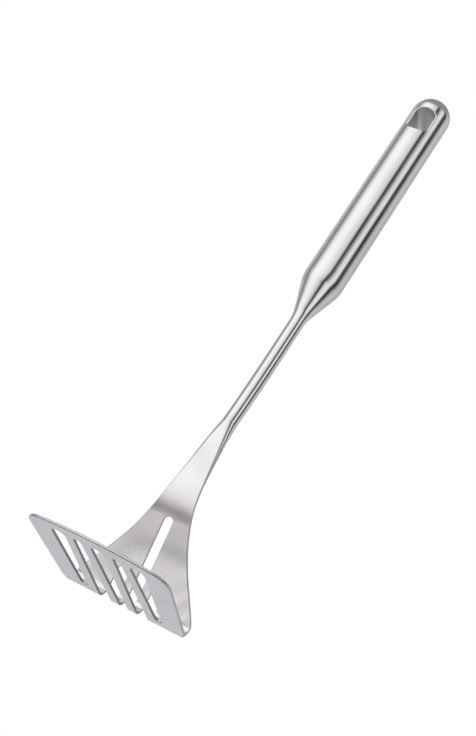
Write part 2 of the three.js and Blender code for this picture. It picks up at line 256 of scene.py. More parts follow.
def handle_tube(material):
    """The hollow handle with its cone and the hole that takes the rod's spigot."""
    half = CONE_ANGLE / 2
    bore = HANDLE_RADIUS - TUBE_WALL
    shoulder_z = SHOULDER_Z + SHOULDER_ROUNDING * math.tan(half)
    cone_foot_z = SHOULDER_Z - (HANDLE_RADIUS - SHANK_RADIUS) / math.tan(CONE_ANGLE)
    neck_z = cone_foot_z - NECK_ROUNDING * math.tan(half)
    shoulder = arc_strip(HANDLE_RADIUS - SHOULDER_ROUNDING, shoulder_z, SHOULDER_ROUNDING,
                         0, -CONE_ANGLE, BEND_STEPS)
    neck = arc_strip(SHANK_RADIUS + NECK_ROUNDING, neck_z, NECK_ROUNDING,
                     math.pi - CONE_ANGLE, math.pi, BEND_STEPS, side=-1)
    outside = [(HANDLE_RADIUS, SEAM_Z, (1, 0))] + shoulder + neck
    outside.append((SHANK_RADIUS, NECK_END_Z, (1, 0)))
    inner_shoulder = arc_strip(HANDLE_RADIUS - SHOULDER_ROUNDING, shoulder_z,
                               SHOULDER_ROUNDING - TUBE_WALL, -CONE_ANGLE, 0,
                               BEND_STEPS // 2, side=-1)
    hole_z = NECK_END_Z + CONE_TIP
    shape = Shape()
    turn(shape, outside)
    turn(shape, [(SHANK_RADIUS, NECK_END_Z, (0, -1)), (SPIGOT_RADIUS, NECK_END_Z, (0, -1))])
    turn(shape, [(SPIGOT_RADIUS, NECK_END_Z, (-1, 0)), (SPIGOT_RADIUS, hole_z, (-1, 0))])
    lean = (-math.cos(CONE_ANGLE), math.sin(CONE_ANGLE))
    first = inner_shoulder[0]
    turn(shape, [(SPIGOT_RADIUS, hole_z, lean), (first[0], first[1], lean)])
    turn(shape, inner_shoulder + [(bore, SEAM_Z, (-1, 0))])
    turn(shape, [(bore, SEAM_Z, (0, 1)), (HANDLE_RADIUS, SEAM_Z, (0, 1))])
    return shape.to_object("handle_tube_fine", "handle_tube", material)


# ---- the hanging eye -------------------------------------------------------------------------
def eye_outline():
    """Points (x, z) round the eye's clear opening and the directions that point away from it."""
    def rounded(centre_z, rise, power, start):
        points = []
        for k in range(EYE_STEPS + 1):
            angle = start + math.pi * k / EYE_STEPS
            across = math.copysign(abs(math.cos(angle)) ** (2 / power), math.cos(angle))
            along = math.copysign(abs(math.sin(angle)) ** (2 / power), math.sin(angle))
            points.append((EYE_HALF_WIDTH * across, centre_z + rise * along))
        return points

    def side(x, start_z, end_z):
        step = (end_z - start_z) / EYE_SIDE_STEPS
        return [(x, start_z + step * k) for k in range(1, EYE_SIDE_STEPS)]

    top = rounded(EYE_ARCH_Z, EYE_ARCH_RISE, EYE_ARCH_POWER, 0)
    sill = rounded(EYE_SILL_Z, EYE_SILL_DROP, 2, math.pi)
    left = side(-EYE_HALF_WIDTH, EYE_ARCH_Z, EYE_SILL_Z)
    right = side(EYE_HALF_WIDTH, EYE_SILL_Z, EYE_ARCH_Z)
    points = top + left + sill + right
    count = len(points)
    outward = []
    for k in range(count):
        before, after = points[k - 1], points[(k + 1) % count]
        along = Vector((after[0] - before[0], after[1] - before[1])).normalized()
        outward.append((along.y, -along.x))
    return points, outward


def grown(points, outward, distance):
    """The outline moved outwards by a distance."""
    return [(x + distance * nx, z + distance * nz) for (x, z), (nx, nz) in zip(points, outward)]


def on_wall(x, z, radius, side):
    """Point and outward normal on the round wall at x; side -1 is the front, 1 the back."""
    depth = side * math.sqrt(radius ** 2 - x ** 2)
    return (x, AXIS_Y + depth, z), (x / radius, depth / radius, 0)


def eye_liner(material):
    """The sleeve through the handle, with its rim rolled over at the front and at the back."""
    points, outward = eye_outline()
    shape = Shape()
    outer = grown(points, outward, LINER_WALL)
    centres = grown(points, outward, EYE_RIM_ROUNDING)
    for side in (-1, 1):
        rows = [[] for _ in range(RIM_STEPS + 2)]
        for (ox, oz), (cx, cz), (nx, nz) in zip(outer, centres, outward):
            point, normal = on_wall(ox, oz, HANDLE_RADIUS, side)
            rows[0].append(Corner(point, normal, LITTLE_RUBBED, (ox, oz)))
            centre, skin = on_wall(cx, cz, HANDLE_RADIUS - EYE_RIM_ROUNDING, side)
            skin = Vector(skin)
            wall = Vector((-nx, 0, -nz))
            for k in range(RIM_STEPS + 1):
                direction = skin.slerp(wall, k / RIM_STEPS)
                place = Vector(centre) + EYE_RIM_ROUNDING * direction
                rows[k + 1].append(Corner(place, direction, RUBBED, (place.x, place.z)))
        shape.grid(rows, closed=True)
        if side < 0:
            front_edge, front_outer = rows[-1], rows[0]
        else:
            back_edge, back_outer = rows[-1], rows[0]
    bore = [front_edge]
    for share in BORE_SHARES:
        row = []
        for front, back in zip(front_edge, back_edge):
            place = Vector(front.point).lerp(Vector(back.point), share)
            # The bore is rough, and darkened as painted shade inside the eye.
            row.append(front._replace(point=place, wear=ROUGH_AND_SHADED, flat=(place.y, place.z)))
        bore.append(row)
    bore.append(back_edge)
    shape.grid(bore, closed=True)
    hidden = []
    for row in (front_outer, back_outer):
        hidden.append([c._replace(normal=(nx, 0, nz)) for c, (nx, nz) in zip(row, outward)])
    shape.grid(hidden, closed=True)
    return shape.to_object("eye_liner_fine", "eye_liner", material)


def holed_wall(shape, radius, facing, hole):
    """The cap's round wall from the seam to the dome, with the eye cut through front and back."""
    half_turn = math.pi * radius
    half_steps = ROUND_STEPS // 2
    rows = [SEAM_Z + (DOME_Z - SEAM_Z) * k / CAP_ROWS for k in range(CAP_ROWS + 1)]
    columns = [half_turn * (k / half_steps - 0.5) for k in range(half_steps + 1)]
    edge = [(radius * math.asin(x / radius), z) for x, z in hole]
    border = [(u, SEAM_Z) for u in columns] + [(columns[-1], z) for z in rows[1:-1]]
    border += [(u, DOME_Z) for u in reversed(columns)]
    border += [(columns[0], z) for z in reversed(rows[1:-1])]
    places = edge + border
    links = ring_links(0, len(edge)) + ring_links(len(edge), len(border))
    for u in columns[1:-1]:
        for z in rows[1:-1]:
            if min((u - eu) ** 2 + (z - ez) ** 2 for eu, ez in edge) < HOLE_MARGIN ** 2:
                continue
            if not inside((u, z), edge):
                places.append((u, z))
    faces = triangles(places, links, [edge])
    for side in (-1, 1):
        for triangle in faces:
            corners = []
            for u, z in triangle:
                angle = u / radius
                point = (radius * math.sin(angle), AXIS_Y + side * radius * math.cos(angle), z)
                normal = (facing * math.sin(angle), facing * side * math.cos(angle), 0)
                corners.append(Corner(point, normal, 0.0, (angle * HANDLE_RADIUS, z)))
            shape.face(corners)


def end_cap(material):
    """The handle's upper end: a hollow dome on a short round wall with the eye cut through it."""
    bore = HANDLE_RADIUS - TUBE_WALL
    points, outward = eye_outline()
    hole = grown(points, outward, LINER_WALL)
    shape = Shape()
    holed_wall(shape, HANDLE_RADIUS, 1, hole)
    holed_wall(shape, bore, -1, hole)
    for side in (-1, 1):
        rows = []
        for radius in (HANDLE_RADIUS, bore):
            row = []
            for (x, z), (nx, nz) in zip(hole, outward):
                point, _ = on_wall(x, z, radius, side)
                row.append(Corner(point, (-nx, 0, -nz), 0.0, (x, z)))
            rows.append(row)
        shape.grid(rows, closed=True)
    turn(shape, arc_strip(0, DOME_Z, HANDLE_RADIUS, 0, math.pi / 2, DOME_STEPS))
    turn(shape, arc_strip(0, DOME_Z, bore, 0, math.pi / 2, DOME_STEPS // 2, side=-1))
    turn(shape, [(bore, SEAM_Z, (0, -1)), (HANDLE_RADIUS, SEAM_Z, (0, -1))])
    return shape.to_object("end_cap_fine", "end_cap", material)


# ---- flat outlines to triangles --------------------------------------------------------------
def inside(place, loop):
    """True if the place lies inside the closed loop."""
    x, y = place
    found = False
    for (ax, ay), (bx, by) in zip(loop, loop[1:] + loop[:1]):
        if (ay > y) != (by > y) and x < ax + (y - ay) * (bx - ax) / (by - ay):
            found = not found
    return found


def ring_links(start, count):
    """Links round a closed loop of places, the first of which has the number start."""
    return [(start + k, start + (k + 1) % count) for k in range(count)]


def triangles(places, links, holes):
    """Triangles over the places, kept to the links, without those that lie in a hole."""
    made = geometry.delaunay_2d_cdt([Vector(p) for p in places], links, [], 1, 1e-9)
    _, _, faces, origins = made[:4]
    kept = []
    for face in faces:
        corners = [places[origins[k][0]] for k in face]
        middle = (sum(x for x, _ in corners) / 3, sum(y for _, y in corners) / 3)
        if not any(inside(middle, hole) for hole in holes):
            kept.append(corners)
    return kept


# ---- shank -----------------------------------------------------------------------------------
def bow(z):
    """Where the shank's middle lies in y: it bows gently towards the front below its start."""
    return AXIS_Y - BOW_RATE * max(BOW_START_Z - z, 0) ** 2


def pressed(z):
    """Half the thickness and the edge rounding of the forged stretch, from sheet to round rod."""
    share = min(max((z - THIN_Z) / (FLAT_START_Z - THIN_Z), 0), 1)
    half = SHEET / 2 + (SHANK_RADIUS - SHEET / 2) * share ** PRESS_POWER
    sheet_ratio = EDGE_ROUNDING / (SHEET / 2)
    return half, half * (sheet_ratio + (1 - sheet_ratio) * share)


def shank_section(z):
    """(x, y, normal) round the shank: a circle that is pressed flat towards the sheet."""
    share = min((z - JOIN_Z) / (FLAT_START_Z - JOIN_Z), 1)
    width = SHANK_RADIUS + (FLAT_HALF_WIDTH - SHANK_RADIUS) * (1 - share)
    half, rounding = pressed(z)
    middle = sheet_place(0, TOP_S, 0)[1]
    centre = middle + (bow(z) - middle) * share
    places = []
    for quarter in range(4):
        side_x = 1 if quarter in (0, 3) else -1
        side_y = 1 if quarter < 2 else -1
        corner_x = side_x * (width - rounding)
        corner_y = side_y * (half - rounding)
        for k in range(SECTION_STEPS + 1):
            angle = math.pi / 2 * (quarter + k / SECTION_STEPS)
            across, depth = math.cos(angle), math.sin(angle)
            places.append((corner_x + rounding * across, centre + corner_y + rounding * depth,
                           (across, depth)))
    return places


def shank_levels():
    """Heights of the shank's sections, closer together where it is pressed flat."""
    levels = [JOIN_Z + FINE_STEP * k for k in range(FINE_STEPS)]
    coarse_count = math.ceil((NECK_END_Z - MM - levels[-1]) / COARSE_STEP)
    levels += [levels[-1] + COARSE_STEP * k for k in range(1, coarse_count)]
    return levels + [NECK_END_Z]


def shank_rod(material):
    """The rod from the blade's top to the cone, and the spigot that sits inside the cone."""
    shape = Shape()
    levels = shank_levels()
    sections = [shank_section(z) for z in levels]
    rows = []
    for i, z in enumerate(levels):
        below, above = max(i - 1, 0), min(i + 1, len(levels) - 1)
        row = []
        for k, (x, y, (across, depth)) in enumerate(sections[i]):
            around = Vector((-depth, across, 0))
            low, high = sections[below][k], sections[above][k]
            upward = Vector((high[0] - low[0], high[1] - low[1], levels[above] - levels[below]))
            row.append(Corner((x, y, z), around.cross(upward).normalized(), 0.0, (x, z)))
        rows.append(row)
    shape.grid(rows, closed=True)
    shape.face([c._replace(normal=(0, 0, -1)) for c in rows[0]])
    spigot_top_z = SHANK_HIGH.z
    ring = [math.pi / 2 * (quarter + k / SECTION_STEPS)
            for quarter in range(4) for k in range(SECTION_STEPS + 1)]

    def circle(radius, z, slope):
        corners = []
        for angle in ring:
            across, depth = math.cos(angle), math.sin(angle)
            point = (radius * across, AXIS_Y + radius * depth, z)
            normal = (slope[0] * across, slope[0] * depth, slope[1])
            corners.append(Corner(point, normal, 0.0, (0, z)))
        return corners

    shoulder = [c._replace(normal=(0, 0, 1)) for c in rows[-1]]
    shape.grid([shoulder, circle(SPIGOT_RADIUS, NECK_END_Z, (0, 1))], closed=True)
    shape.grid([circle(SPIGOT_RADIUS, z, (1, 0)) for z in (NECK_END_Z, spigot_top_z)], closed=True)
    shape.face(circle(SPIGOT_RADIUS, spigot_top_z, (0, 1)))
    return shape.to_object("shank_rod_fine", "shank_rod", material)


# ---- the bent sheet --------------------------------------------------------------------------
FOLD_MIDDLE = FOLD_RADIUS - SHEET / 2
FOLD_TURN = math.pi / 2 + BLADE_LEAN
BEND_MIDDLE = BACK_BEND_RADIUS + SHEET / 2
FOLD_END = FOLD_MIDDLE * FOLD_TURN
STRAIGHT_END = FOLD_END + BLADE_STRAIGHT
BEND_END = STRAIGHT_END + BEND_MIDDLE * BLADE_LEAN


def sheet_walk(s):
    """(y, z, heading) on the sheet's middle, s along it from the start of the fold."""
    if s <= 0:
        return PLATE_REAR_Y + s, SHEET / 2, 0.0
    turn_done = min(s / FOLD_MIDDLE, FOLD_TURN)
    y = PLATE_REAR_Y + FOLD_MIDDLE * math.sin(turn_done)
    z = FOLD_RADIUS - FOLD_MIDDLE * math.cos(turn_done)
    if s <= FOLD_END:
        return y, z, turn_done
    run = min(s, STRAIGHT_END) - FOLD_END
    y += run * math.cos(FOLD_TURN)
    z += run * math.sin(FOLD_TURN)
    if s <= STRAIGHT_END:
        return y, z, FOLD_TURN
    heading = max(FOLD_TURN - (s - STRAIGHT_END) / BEND_MIDDLE, math.pi / 2)
    y += BEND_MIDDLE * (math.sin(FOLD_TURN) - math.sin(heading))
    z += BEND_MIDDLE * (math.cos(heading) - math.cos(FOLD_TURN))
    return y, z + max(s - BEND_END, 0), heading


def sheet_half(s):
    """Half the sheet's thickness and its edge rounding at s."""
    return pressed(sheet_walk(s)[1])


def sheet_place(x, s, height):
    """Point at a height off the sheet's middle, towards the plate's top and the blade's front."""
    y, z, heading = sheet_walk(s)
    return x, y - height * math.sin(heading), z + height * math.cos(heading)


TOP_S = BEND_END + JOIN_Z - sheet_walk(BEND_END)[1]


def spline(points, x):
    """Smooth curve through the points, read at x."""
    count = len(points)
    k = next((i for i in range(1, count - 1) if points[i][0] >= x), count - 1)
    (x1, y1), (x2, y2) = points[k - 1], points[k]
    before, after = points[max(k - 2, 0)], points[min(k + 1, count - 1)]
    slope1 = (y2 - before[1]) / (x2 - before[0])
    slope2 = (after[1] - y1) / (after[0] - x1)
    run = x2 - x1
    t = (x - x1) / run
    hold1 = (1 + 2 * t) * (1 - t) ** 2
    hold2 = t * t * (3 - 2 * t)
    return (hold1 * y1 + t * (1 - t) ** 2 * run * slope1
            + hold2 * y2 + t * t * (t - 1) * run * slope2)


def half_width(s):
    """Half the blade's width at s."""
    return spline(BLADE_OUTLINE, s / MM) * MM


def sheet_rows():
    """Distances along the sheet where it gets a row of points, closer together in the bends."""
    # (from, to, longest step)
    stops = [
        (PLATE_FRONT_Y - PLATE_REAR_Y, 0, 2.0 * MM),
        (0, FOLD_END, 0.36 * MM),
        (FOLD_END, STRAIGHT_END, 1.3 * MM),
        (STRAIGHT_END, BEND_END, 0.9 * MM),
        (BEND_END, TOP_S, 1.3 * MM),
    ]
    rows = []
    for start, end, step in stops:
        count = math.ceil((end - start) / step)
        rows += [start + (end - start) * k / count for k in range(count)]
    return rows + [TOP_S]


def right_outline():
    """The sheet's right-hand edge as (x, s) from the blade's top to the middle of the front."""
    sag = PLATE_FRONT_SAG
    front_s = PLATE_FRONT_Y - PLATE_REAR_Y
    big_radius = (PLATE_FRONT_HALF ** 2 + sag ** 2) / (2 * sag)
    big_centre = front_s + big_radius
    taper = (PLATE_FRONT_HALF - PLATE_REAR_HALF) / (-front_s - sag)
    side_angle = math.atan(taper)
    inner = big_radius - PLATE_CORNER
    base = PLATE_REAR_HALF - PLATE_CORNER / math.cos(side_angle)
    a = 1 + taper ** 2
    b = -2 * (taper * base + big_centre)
    c = base ** 2 + big_centre ** 2 - inner ** 2
    corner_s = (-b - math.sqrt(b * b - 4 * a * c)) / (2 * a)
    corner_x = base - taper * corner_s
    edge_angle = math.atan2(corner_s - big_centre, corner_x)
    outline = []
    for s in reversed(sheet_rows()):
        if s >= BLADE_OUTLINE[0][0] * MM:
            outline.append((half_width(s), s))
        elif s > corner_s + PLATE_CORNER * math.sin(side_angle) + MM:
            outline.append((PLATE_REAR_HALF - taper * s, s))
    for k in range(CORNER_STEPS + 1):
        angle = side_angle + (edge_angle - side_angle) * k / CORNER_STEPS
        outline.append((corner_x + PLATE_CORNER * math.cos(angle),
                        corner_s + PLATE_CORNER * math.sin(angle)))
    for k in range(1, FRONT_STEPS + 1):
        angle = edge_angle + (-math.pi / 2 - edge_angle) * k / FRONT_STEPS
        outline.append((big_radius * math.cos(angle), big_centre + big_radius * math.sin(angle)))
    return outline


def sheet_outline():
    """The whole edge, from the blade's top down the right side, round the front and up again."""
    right = right_outline()
    return right + [(-x, s) for x, s in reversed(right[:-1])]


def slot_outline(centre_x, widths, rear_s):
    """A wedge-shaped hole with round ends. Its long sides have points on the sheet's rows."""
    front_half, rear_half = widths
    front_s = PLATE_FRONT_Y - PLATE_REAR_Y + SLOT_FRONT_INSET + front_half
    rear_s -= rear_half

    def half_at(s):
        share = min((s - front_s) / (-SLOT_TAPER_END_INSET - front_s), 1)
        return front_half + (rear_half - front_half) * share

    def end(half, middle_s, start):
        angles = (start + math.pi * k / SLOT_END_STEPS for k in range(SLOT_END_STEPS + 1))
        return [(centre_x + half * math.cos(a), middle_s + half * math.sin(a)) for a in angles]

    inner = [s for s in sheet_rows() if front_s + ROW_MARGIN < s < rear_s - ROW_MARGIN]
    right = [(centre_x + half_at(s), s) for s in inner]
    left = [(centre_x - half_at(s), s) for s in reversed(inner)]
    return end(front_half, front_s, math.pi) + right + end(rear_half, rear_s, 0) + left


def edge_directions(loop, closed):
    """For each point of an edge, the direction to the right of the way the edge runs."""
    directions = []
    last = len(loop) - 1
    for k in range(len(loop)):
        before = loop[k - 1] if closed else loop[max(k - 1, 0)]
        after = loop[(k + 1) % len(loop)] if closed else loop[min(k + 1, last)]
        along = Vector((after[0] - before[0], after[1] - before[1])).normalized()
        directions.append((along.y, -along.x))
    return directions


def sheet_corner(x, s, height, normal, wear):
    """normal is (across, along, off the sheet) in the sheet's own directions."""
    heading = sheet_walk(s)[2]
    swelling = (sheet_half(s + PROBE)[0] - sheet_half(s - PROBE)[0]) / (2 * PROBE)
    across, along, off = normal
    along -= swelling * abs(off)
    direction = (across,
                 along * math.cos(heading) - off * math.sin(heading),
                 along * math.sin(heading) + off * math.cos(heading))
    flat = (x / GRAIN_UNIT, s / GRAIN_UNIT)
    return Corner(sheet_place(x, s, height), direction, wear, flat)


def rounded_edge(shape, loop, outs, rounding, wear, closed):
    """The sheet's edge with both of its corners rounded off.

    rounding is for the plain sheet, and grows with its thickness. The next to last argument holds
    two values, for edges that face across the sheet and for edges that face along it: how rough
    the cut edge is and how much its colour is darkened as painted shade. It fades out on the way
    to the sheet's faces.
    """
    rows = []
    for side, start, end in ((1, 90, 0), (-1, 0, -90)):
        for k in range(EDGE_STEPS + 1):
            angle = math.radians(start + (end - start) * k / EDGE_STEPS)
            level = max(math.cos(angle), 0) ** 0.5
            row = []
            for (x, s), (ox, os) in zip(loop, outs):
                half, full = sheet_half(s)
                radius = full * rounding / EDGE_ROUNDING
                back = radius * (1 - math.cos(angle))
                height = side * (half - radius) + radius * math.sin(angle)
                normal = (ox * math.cos(angle), os * math.cos(angle), math.sin(angle))
                # Painted shade: the cut edge is darkened more or less by the way it faces, most at
                # its middle.
                shown = level * (wear[0] * abs(ox) + wear[1] * abs(os))
                row.append(sheet_corner(x - back * ox, s - back * os, height, normal, shown))
            rows.append(row)
    shape.grid(rows, closed)
    return rows


def sheet_slots():
    """(middle, half widths, rear end) of each slot; a short or long one runs up the blade."""
    lean_start_z = sheet_walk(FOLD_END)[1]
    up = math.sin(FOLD_TURN)
    outer_rear_s = OUTER_SLOT[1] - SLOT_TAPER_END_INSET
    short_rear_s = FOLD_END + (SHORT_SLOT_TOP_Z - lean_start_z) / up
    long_rear_s = FOLD_END + (LONG_SLOT_TOP_Z - lean_start_z) / up
    slots = [(0, MIDDLE_SLOT, long_rear_s)]
    for side in (-1, 1):
        slots.append((side * SLOT_PITCH, SHORT_SLOT, short_rear_s))
        slots.append((2 * side * SLOT_PITCH, OUTER_SLOT, outer_rear_s))
    return slots


def face_points(border, holes):
    """Points spread over the flat sheet, clear of its edges."""
    edges = border + [point for hole in holes for point in hole]
    columns = [COLUMN_STEP * k for k in range(-COLUMNS_EACH_SIDE, COLUMNS_EACH_SIDE + 1)]
    places = []
    for s in sheet_rows()[1:-1]:
        near = [x for x, edge_s in edges if abs(edge_s - s) < POINT_MARGIN]
        for x in columns:
            if any(abs(x - edge_x) < POINT_MARGIN for edge_x in near):
                continue
            if inside((x, s), border) and not any(inside((x, s), hole) for hole in holes):
                places.append((x, s))
    return places


def masher_blade(material):
    """The one bent sheet: the slotted plate, the fold and the blade, both faces and all edges."""
    shape = Shape()
    outline = sheet_outline()
    outs = [(-x, -s) for x, s in edge_directions(outline, False)]
    outs[0], outs[-1] = (1, 0), (-1, 0)
    # The outer edge: rough, and darkened as painted shade.
    end_rows = rounded_edge(shape, outline, outs, EDGE_ROUNDING, OUTLINE_WEAR_AND_SHADE, False)
    border = [(x - sheet_half(s)[1] * ox, s - sheet_half(s)[1] * os)
              for (x, s), (ox, os) in zip(outline, outs)]
    holes = []
    for centre_x, widths, rear_s in sheet_slots():
        loop = slot_outline(centre_x, widths, rear_s)
        into = [(-x, -s) for x, s in edge_directions(loop, True)]
        # The slot walls: rough, and darkened as painted shade along their long sides.
        rounded_edge(shape, loop, into, SLOT_ROUNDING, SLOT_WEAR_AND_SHADE, True)
        holes.append([(x - SLOT_ROUNDING * ox, s - SLOT_ROUNDING * os)
                      for (x, s), (ox, os) in zip(loop, into)])
    places = list(border)
    links = ring_links(0, len(border))
    for hole in holes:
        links += ring_links(len(places), len(hole))
        places += hole
    places += face_points(border, holes)
    for triangle in triangles(places, links, holes):
        for side in (1, -1):
            shape.face([sheet_corner(x, s, side * sheet_half(s)[0], (0, 0, side), 0.0)
                        for x, s in triangle])
    section = [row[0] for row in end_rows] + [row[-1] for row in reversed(end_rows)]
    shape.face([c._replace(normal=(0, 0, 1)) for c in section])
    return shape.to_object("masher_blade_fine", "masher_blade", material)


# ---- materials -------------------------------------------------------------------------------
NOISE_LOW, NOISE_HIGH = 0.3, 0.7   # nearly all of a noise texture's values lie between these
GLOSS_SPREAD = 0.02                # how far the soft unevenness moves the roughness
RUBBED_TONE = 0.05                 # how much brighter, and smoother, a rubbed edge is
SHEARED_ROUGHNESS = 0.33           # how much rougher a sheared edge is
LINE_DETAIL = 3.0                  # detail in the brushed lines; the unevenness has none
CLOUD_SEED_STEP = 5.0              # sets the unevenness apart from the lines


def add_node(tree, kind, **settings):
    """Adds a node with its settings."""
    node = tree.nodes.new(kind)
    for name, value in settings.items():
        setattr(node, name, value)
    return node


def scaled_noise(tree, place, scale, detail, seed):
    """Noise over a place vector that is first stretched by scale (waves per metre or per unit)."""
    stretch = add_node(tree, "ShaderNodeVectorMath", operation="MULTIPLY")
    tree.links.new(place, stretch.inputs[0])
    stretch.inputs[1].default_value = scale
    noise = add_node(tree, "ShaderNodeTexNoise", noise_dimensions="4D")
    noise.inputs["W"].default_value = seed
    noise.inputs["Scale"].default_value = 1.0
    noise.inputs["Detail"].default_value = detail
    tree.links.new(stretch.outputs[0], noise.inputs["Vector"])
    return noise.outputs[0]


def remap(tree, value, low, high, to_low, to_high):
    """Takes low..high to to_low..to_high in a straight line, and stops at both ends."""
    node = add_node(tree, "ShaderNodeMapRange", clamp=True)
    node.inputs["From Min"].default_value = low
    node.inputs["From Max"].default_value = high
    node.inputs["To Min"].default_value = to_low
    node.inputs["To Max"].default_value = to_high
    tree.links.new(value, node.inputs["Value"])
    return node.outputs[0]


def combine(tree, operation, first, second):
    """Math on two values, each a socket or a number."""
    node = add_node(tree, "ShaderNodeMath", operation=operation)
    for socket, value in zip(node.inputs, (first, second)):
        if isinstance(value, float):
            socket.default_value = value
        else:
            tree.links.new(value, socket)
    return node.outputs[0]


def spread(tree, noise, middle, half):
    """A noise taken to values from half below the middle to half above it."""
    return remap(tree, noise, NOISE_LOW, NOISE_HIGH, middle - half, middle + half)


# grain and clouds are the scales of the brushed lines and of the soft unevenness; each has its
# lift (height in metres) and its tone (change of brightness). The edge tone, the one before seed,
# darkens cut edges and the eye's bore as painted shade.
Finish = namedtuple("Finish", "colour roughness grain clouds grain_lift cloud_lift "
                              "grain_tone cloud_tone sheared seed")


def steel(name, finish, flat=False):
    """Brushed stainless steel, with cut edges darkened as painted shade. On the sheet its grain
    follows the sheet's flat map.
    """
    material = bpy.data.materials.new(name)
    material.use_nodes = True
    tree = material.node_tree
    link = tree.links.new
    shader = tree.nodes["Principled BSDF"]
    if flat:
        place = add_node(tree, "ShaderNodeUVMap", uv_map="flat").outputs["UV"]
    else:
        place = add_node(tree, "ShaderNodeTexCoord").outputs["Object"]
    lines = scaled_noise(tree, place, finish.grain, LINE_DETAIL, finish.seed)
    patches = scaled_noise(tree, place, finish.clouds, 0.0, finish.seed + CLOUD_SEED_STEP)
    wear = add_node(tree, "ShaderNodeAttribute", attribute_name="wear").outputs["Fac"]
    rubbed = remap(tree, wear, 0, RUBBED, 0, 1)
    # Where the edge is cut: rougher, and darkened below as painted shade.
    sheared = remap(tree, wear, 0, ROUGH_AND_SHADED, 0, 1)
    line_tone = spread(tree, lines, 0, finish.grain_tone)
    rubbed_tone = combine(tree, "MULTIPLY", rubbed, RUBBED_TONE)

    tone = combine(tree, "ADD", line_tone, spread(tree, patches, 1, finish.cloud_tone))
    tone = combine(tree, "ADD", tone, rubbed_tone)
    # Painted shade: cut edges and the eye's bore darkened by the finish's edge tone.
    tone = combine(tree, "MULTIPLY", tone, remap(tree, sheared, 0, 1, 1, finish.sheared))
    tint = add_node(tree, "ShaderNodeVectorMath", operation="SCALE")
    tint.inputs[0].default_value = finish.colour
    link(tone, tint.inputs["Scale"])
    link(tint.outputs[0], shader.inputs["Base Color"])

    gloss = combine(tree, "ADD", line_tone,
                    spread(tree, patches, finish.roughness, GLOSS_SPREAD))
    gloss = combine(tree, "SUBTRACT", gloss, rubbed_tone)
    gloss = combine(tree, "ADD", gloss, combine(tree, "MULTIPLY", sheared, SHEARED_ROUGHNESS))
    link(gloss, shader.inputs["Roughness"])

    height = combine(tree, "ADD", combine(tree, "MULTIPLY", lines, finish.grain_lift),
                     combine(tree, "MULTIPLY", patches, finish.cloud_lift))
    bump = add_node(tree, "ShaderNodeBump")
    bump.inputs["Strength"].default_value = 1.0
    bump.inputs["Distance"].default_value = 1.0
    link(height, bump.inputs["Height"])
    link(bump.outputs[0], shader.inputs["Normal"])
    shader.inputs["Metallic"].default_value = 1.0
    return material


HANDLE_FINISH = Finish(
    colour=(0.74, 0.74, 0.745), roughness=0.12, grain=(60, 60, 3500), clouds=(90, 90, 60),
    grain_lift=1.5e-6, cloud_lift=4e-6, grain_tone=0.025, cloud_tone=0.03, sheared=1.0, seed=1.0)
# The liner's edge tone darkens its bore: painted shade inside the eye.
LINER_FINISH = Finish(
    colour=(0.755, 0.735, 0.73), roughness=0.14, grain=(400, 3000, 400), clouds=(120, 120, 120),
    grain_lift=1e-6, cloud_lift=3e-6, grain_tone=0.03, cloud_tone=0.03, sheared=0.92, seed=2.0)
SHANK_FINISH = HANDLE_FINISH._replace(roughness=0.11, seed=3.0)
# The sheet's edge tone darkens its cut edges: painted shade.
SHEET_FINISH = Finish(
    colour=(0.755, 0.75, 0.745), roughness=0.26, grain=(4, 110, 1), clouds=(7, 10, 1),
    grain_lift=6e-7, cloud_lift=2.5e-5, grain_tone=0.008, cloud_tone=0.05, sheared=0.6, seed=4.0)


# ---- camera and floor ------------------------------------------------------------------------
# The camera looks up at the plate from in front and below, rolled to the right.
VIEW_AZIMUTH = math.radians(23.845)
VIEW_ELEVATION = math.radians(-24.517)
VIEW_ROLL = math.radians(33.605)
VIEW_PLACE = Vector((0.2290, -0.52685, -0.1516))
IMAGE_HEIGHT = 736
FOCAL_PIXELS = 1435.35
HALF_PIXEL = 0.5 / IMAGE_HEIGHT


def make_camera():
    camera = bpy.data.cameras.new("camera")
    camera.sensor_fit = "VERTICAL"
    camera.sensor_height = 36
    camera.sensor_width = 36
    camera.lens = FOCAL_PIXELS * camera.sensor_height / IMAGE_HEIGHT
    camera.shift_x = -HALF_PIXEL
    camera.shift_y = HALF_PIXEL
    camera.clip_start = 0.01
    camera.clip_end = 50
    forward = Vector((-math.sin(VIEW_AZIMUTH) * math.cos(VIEW_ELEVATION),
                      math.cos(VIEW_AZIMUTH) * math.cos(VIEW_ELEVATION),
                      -math.sin(VIEW_ELEVATION)))
    right = forward.cross(Vector((0, 0, 1))).normalized()
    up = right.cross(forward)
    rolled_right = right * math.cos(VIEW_ROLL) + up * math.sin(VIEW_ROLL)
    rolled_up = up * math.cos(VIEW_ROLL) - right * math.sin(VIEW_ROLL)
    turned = Matrix((rolled_right, rolled_up, -forward)).transposed().to_4x4()
    holder = bpy.data.objects.new("camera", camera)
    holder.matrix_world = Matrix.Translation(VIEW_PLACE) @ turned
    bpy.context.scene.collection.objects.link(holder)
    bpy.context.scene.camera = holder


FLOOR_Z = -0.36                    # well below the camera, which is below the plate
FLOOR_HALF = 12
FLOOR_COLOUR = (0.86, 0.86, 0.86, 1)
FLOOR_ROUGHNESS = 0.9


def make_floor():
    """A plain pale floor that doesn't show in mirror reflections."""
    mesh = bpy.data.meshes.new("floor")
    signs = ((-1, -1), (1, -1), (1, 1), (-1, 1))
    corners = [(FLOOR_HALF * x, FLOOR_HALF * y, FLOOR_Z) for x, y in signs]
    mesh.from_pydata(corners, [], [(0, 1, 2, 3)])
    material = bpy.data.materials.new("floor")
    material.use_nodes = True
    shader = material.node_tree.nodes["Principled BSDF"]
    shader.inputs["Base Color"].default_value = FLOOR_COLOUR
    shader.inputs["Roughness"].default_value = FLOOR_ROUGHNESS
    mesh.materials.append(material)
    floor = bpy.data.objects.new("floor", mesh)
    bpy.context.scene.collection.objects.link(floor)
    floor.visible_glossy = False


